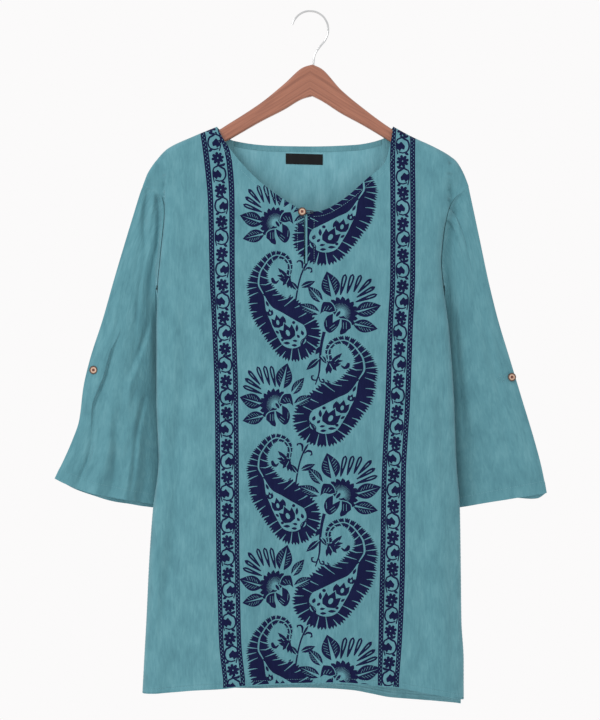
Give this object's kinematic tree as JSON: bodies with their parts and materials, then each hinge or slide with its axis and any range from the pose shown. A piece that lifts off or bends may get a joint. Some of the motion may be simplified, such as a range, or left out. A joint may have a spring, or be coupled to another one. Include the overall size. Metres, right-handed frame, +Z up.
{
  "type": "kurta on a clothes hanger",
  "caption": "Cotton kurta with a round neck, short neck slit and flared three-quarter sleeves, hanging flat on a contoured wooden hanger with a wire hook",
  "frame": {"origin": "the inside top of the hanger's hook, where the part hangs", "axes": "+Z up, +X to the right seen from the front, +Y to the back; the garment's front faces -Y"},
  "size_m": [0.688, 0.0896, 0.9687],
  "materials": {
    "cloth": "crinkled washed cotton, teal, printed in navy on the front",
    "label": "black woven tape, plain",
    "cord": "dark cotton cord",
    "button": "turned wood with a darker rim, satin",
    "wood": "lacquered brown wood, satin",
    "wire": "bright plated steel wire"
  },
  "bodies": {
    "root": {"front": "cloth", "back": "cloth", "sleeve_left": "cloth", "sleeve_right": "cloth", "neck_binding": "cloth", "slit_strip": "cloth", "label": "label", "button_loop": "cord", "button_neck": "button", "button_sleeve_left": "button", "button_sleeve_right": "button", "hanger": "wood", "hook": "wire"}
  },
  "joints": []
}
